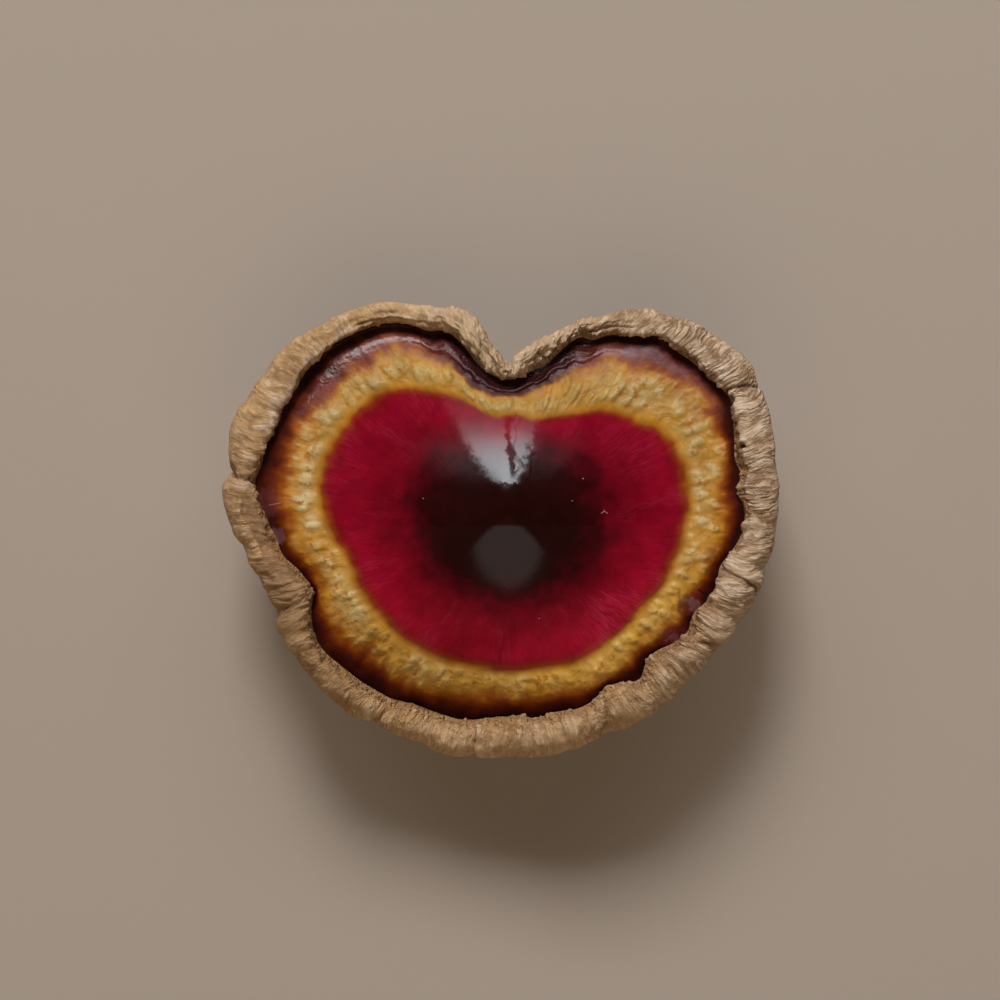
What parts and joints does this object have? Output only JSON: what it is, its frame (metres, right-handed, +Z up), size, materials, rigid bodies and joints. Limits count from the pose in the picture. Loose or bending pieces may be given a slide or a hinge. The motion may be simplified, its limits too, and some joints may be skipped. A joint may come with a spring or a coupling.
{
  "type": "reishi mushroom",
  "caption": "Dried reishi mushroom: a kidney-shaped lacquered cap with a thick rolled rim, on a short stem cut flat to stand on.",
  "frame": {"origin": "middle of the stem's flat cut foot, which the mushroom stands on", "axes": "+Z up through the cap's crown; +Y from the crown towards the notch between the cap's two lobes; X across the cap's width"},
  "size_m": [0.1414, 0.1172, 0.042],
  "materials": {
    "cap": "gloss",
    "stem": "gloss"
  },
  "bodies": {
    "root": {"cap": "cap", "stem": "stem"}
  },
  "joints": []
}
